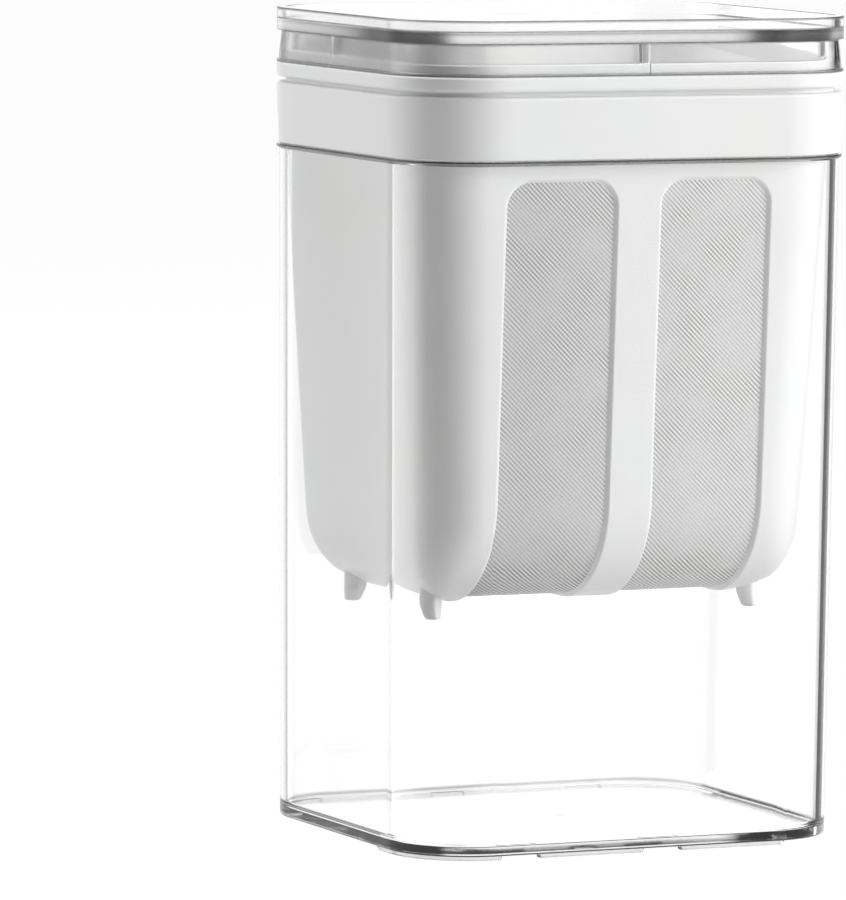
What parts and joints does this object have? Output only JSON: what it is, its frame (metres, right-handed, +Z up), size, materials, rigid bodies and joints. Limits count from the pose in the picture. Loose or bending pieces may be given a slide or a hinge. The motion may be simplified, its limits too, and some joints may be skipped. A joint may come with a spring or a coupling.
{
  "type": "yogurt maker",
  "caption": "Greek yogurt maker: a strainer basket with mesh windows hangs in a clear container that catches the whey, under a clear lid.",
  "frame": {"origin": "centre of the foot ring's plane, on the table under the container", "axes": "+Z up, -Y the wide face with two mesh windows (front), +X to the right seen from the front"},
  "size_m": [0.12, 0.105, 0.201],
  "materials": {
    "clear_plastic": "clear, colourless, polished",
    "white_plastic": "white, satin",
    "filter_mesh": "fine silver-grey woven mesh"
  },
  "bodies": {
    "container": {"container": "clear_plastic"},
    "strainer": {"strainer_frame": "white_plastic", "mesh_left": "filter_mesh", "mesh_right": "filter_mesh"},
    "lid": {"lid": "clear_plastic"}
  },
  "joints": [
    {"name": "strainer_lift", "type": "slide", "parent": "container", "child": "strainer", "axis": [0, 0, 1], "range_m": [0, 0.125]},
    {"name": "lid_lift", "type": "slide", "parent": "strainer", "child": "lid", "axis": [0, 0, 1], "range_m": [0, 0.05]}
  ]
}
